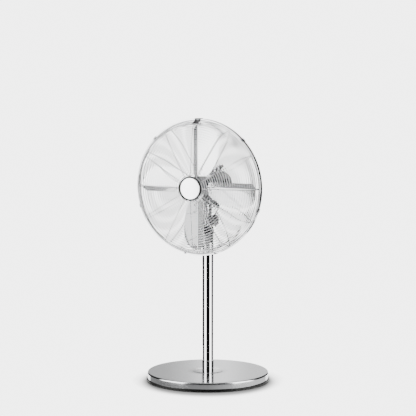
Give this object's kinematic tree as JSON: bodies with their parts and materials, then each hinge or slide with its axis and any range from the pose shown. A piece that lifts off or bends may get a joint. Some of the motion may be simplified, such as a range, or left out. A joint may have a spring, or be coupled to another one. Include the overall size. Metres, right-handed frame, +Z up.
{
  "type": "pedestal fan",
  "caption": "Pedestal fan: weighted disc base, telescopic pole, swivel and tilt neck, oscillating drum motor, bent metal blades in a round wire cage.",
  "frame": {"origin": "centre of the base on the floor", "axes": "+Z up, the fan blows towards -Y, +X is to the right when looking at the front of the fan"},
  "size_m": [0.4399, 0.403, 0.8616],
  "materials": {
    "chrome": "polished",
    "steel": "brushed",
    "blade_alu": "satin",
    "cast_alu": "as cast",
    "dark_metal": "satin",
    "black_plastic": "fine texture",
    "black_rubber": "matt",
    "iron": "rough",
    "white_plastic": "satin",
    "copper": "varnished",
    "bronze": "sintered",
    "lamination": "stacked sheet",
    "badge": "satin"
  },
  "bodies": {
    "stand": {"base_cover": "chrome", "base_weight": "iron", "base_ring": "black_plastic", "base_feet": "black_rubber", "foot_plug": "steel", "foot_bolt": "steel", "foot_washer": "steel", "outer_pole": "chrome", "cord_gland": "black_rubber", "pole_bush": "black_plastic"},
    "collar": {"height_collar": "black_plastic"},
    "mast": {"inner_tube": "chrome", "guide_ring": "black_plastic", "swivel_bush": "white_plastic", "sway_arm": "steel"},
    "neck": {"neck_knuckle": "chrome", "lead_gland_neck": "black_rubber"},
    "head": {"tilt_yoke": "chrome", "tilt_bolt": "steel", "tilt_washers": "steel", "swivel_bracket": "chrome", "lead_gland_head": "black_rubber", "motor_lead": "black_rubber", "motor_shell": "dark_metal", "rear_cover": "chrome", "stator": "lamination", "stator_coils": "copper", "shaft_bushes": "bronze", "gearbox_case": "cast_alu", "cover_screws": "steel", "clutch_boss": "cast_alu", "speed_pod": "chrome", "speed_switch": "black_plastic", "rear_guard_face": "chrome", "rear_guard_side": "chrome", "guard_nut": "black_plastic", "front_guard_face": "chrome", "front_guard_side": "chrome", "rim_band": "chrome", "rim_clips": "steel", "top_clip": "steel", "badge_ring": "black_plastic", "badge_disc": "badge"},
    "lock_knob": {"tilt_knob": "black_plastic"},
    "clutch_button": {"clutch_knob": "black_plastic"},
    "switch_knob": {"speed_knob": "black_plastic"},
    "rotating_set": {"motor_shaft": "steel", "worm": "steel", "rotor": "lamination", "blade_hub": "cast_alu", "blade_1": "blade_alu", "blade_2": "blade_alu", "blade_3": "blade_alu", "blade_4": "blade_alu", "blade_rivets": "steel", "blade_nut": "black_plastic"},
    "gear": {"worm_wheel": "white_plastic"},
    "crank": {"clutch_shaft": "steel", "crank_arm": "steel"},
    "link": {"sway_link": "steel"}
  },
  "joints": [
    {"name": "height_slide", "type": "slide", "parent": "stand", "child": "mast", "axis": [0, 0, 1], "range_m": [0, 0.3]},
    {"name": "collar_turn", "type": "hinge", "parent": "stand", "child": "collar", "pos_m": [0, 0, 0.492], "axis": [0, 0, 1], "range_deg": [0, 120]},
    {"name": "sway", "type": "hinge", "parent": "mast", "child": "neck", "pos_m": [0, 0, 0.512], "axis": [0, 0, 1], "range_deg": [-40, 40]},
    {"name": "tilt", "type": "hinge", "parent": "neck", "child": "head", "pos_m": [0, 0, 0.528], "axis": [-1, 0, 0], "range_deg": [-8, 25], "deforming": ["motor_lead"]},
    {"name": "tilt_knob_turn", "type": "hinge", "parent": "head", "child": "lock_knob", "pos_m": [0.025, 0, 0.528], "axis": [1, 0, 0], "range_deg": [0, 270]},
    {"name": "clutch_pull", "type": "slide", "parent": "head", "child": "clutch_button", "axis": [0, 0, 1], "range_m": [0, 0.006]},
    {"name": "speed_turn", "type": "hinge", "parent": "head", "child": "switch_knob", "pos_m": [0, 0.073, 0.6895], "axis": [0, 0.9903, 0.1392], "range_deg": [0, 270]},
    {"name": "fan_spin", "type": "hinge", "parent": "head", "child": "rotating_set", "pos_m": [0, 0, 0.64], "axis": [0, 1, 0], "continuous": true},
    {"name": "gear_turn", "type": "hinge", "parent": "head", "child": "gear", "pos_m": [-0.014, 0.062, 0.64], "axis": [0, 0, 1], "continuous": true},
    {"name": "crank_turn", "type": "hinge", "parent": "head", "child": "crank", "pos_m": [-0.014, 0.062, 0.565], "axis": [0, 0, 1], "range_deg": [-60, 60]},
    {"name": "link_turn", "type": "hinge", "parent": "crank", "child": "link", "pos_m": [-0.03399, 0.0613, 0.559], "axis": [0, 0, 1], "range_deg": [-60, 60]}
  ],
  "couplings": [
    {"joint": "gear_turn", "follows": "fan_spin", "ratio": -0.04},
    {"joint": "crank_turn", "follows": "sway", "ratio": -1.402},
    {"joint": "link_turn", "follows": "sway", "ratio": 1.418}
  ]
}
